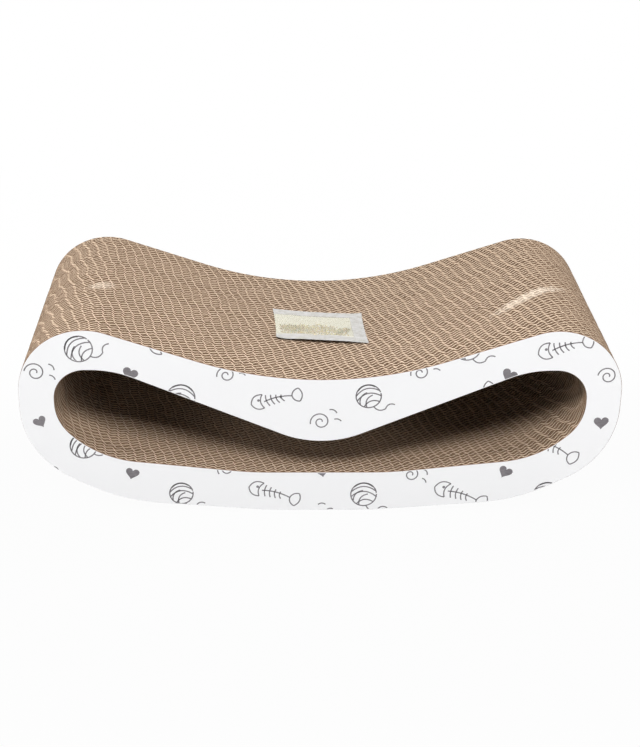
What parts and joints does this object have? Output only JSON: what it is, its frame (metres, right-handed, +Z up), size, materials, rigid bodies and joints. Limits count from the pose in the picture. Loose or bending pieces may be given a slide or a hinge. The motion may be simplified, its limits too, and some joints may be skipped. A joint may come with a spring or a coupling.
{
  "type": "cardboard cat scratcher",
  "caption": "Closed-loop corrugated cardboard scratching lounge for a cat: saddle top, tunnel through it, card facings and a loose catnip sachet.",
  "frame": {"origin": "on the floor under the middle of the lounge, halfway between its two ends and between its two faces", "axes": "+X along the lounge, +Y through the tunnel from the front face to the back one, +Z up"},
  "size_m": [0.47, 0.2144, 0.1565],
  "materials": {
    "kraft_board": "raw kraft corrugated board, cut edges of liners and flutes open to view",
    "white_card": "smooth white card facing, semi-matt",
    "clear_film": "thin clear plastic film with pressed seals",
    "dried_herb": "loose flakes of dried leaf"
  },
  "bodies": {
    "root": {"board_01": "kraft_board", "board_02": "kraft_board", "board_03": "kraft_board", "board_04": "kraft_board", "board_05": "kraft_board", "board_06": "kraft_board", "board_07": "kraft_board", "board_08": "kraft_board", "board_09": "kraft_board", "board_10": "kraft_board", "board_11": "kraft_board", "board_12": "kraft_board", "board_13": "kraft_board", "board_14": "kraft_board", "board_15": "kraft_board", "board_16": "kraft_board", "board_17": "kraft_board", "board_18": "kraft_board", "board_19": "kraft_board", "board_20": "kraft_board", "board_21": "kraft_board", "board_22": "kraft_board", "board_23": "kraft_board", "board_24": "kraft_board", "board_25": "kraft_board", "board_26": "kraft_board", "board_27": "kraft_board", "board_28": "kraft_board", "board_29": "kraft_board", "board_30": "kraft_board", "board_31": "kraft_board", "board_32": "kraft_board", "board_33": "kraft_board", "board_34": "kraft_board", "board_35": "kraft_board", "board_36": "kraft_board", "board_37": "kraft_board", "board_38": "kraft_board", "board_39": "kraft_board", "board_40": "kraft_board", "board_41": "kraft_board", "board_42": "kraft_board", "board_43": "kraft_board", "board_44": "kraft_board", "board_45": "kraft_board", "board_46": "kraft_board", "board_47": "kraft_board", "board_48": "kraft_board", "board_49": "kraft_board", "board_50": "kraft_board", "board_51": "kraft_board", "board_52": "kraft_board", "board_53": "kraft_board", "board_54": "kraft_board", "front_panel": "white_card", "back_panel": "white_card"},
    "sachet": {"sachet_film": "clear_film", "catnip": "dried_herb"}
  },
  "joints": [
    {"name": "sachet_lift", "type": "slide", "parent": "root", "child": "sachet", "axis": [0, 0, 1], "range_m": [0, 0.12]}
  ]
}
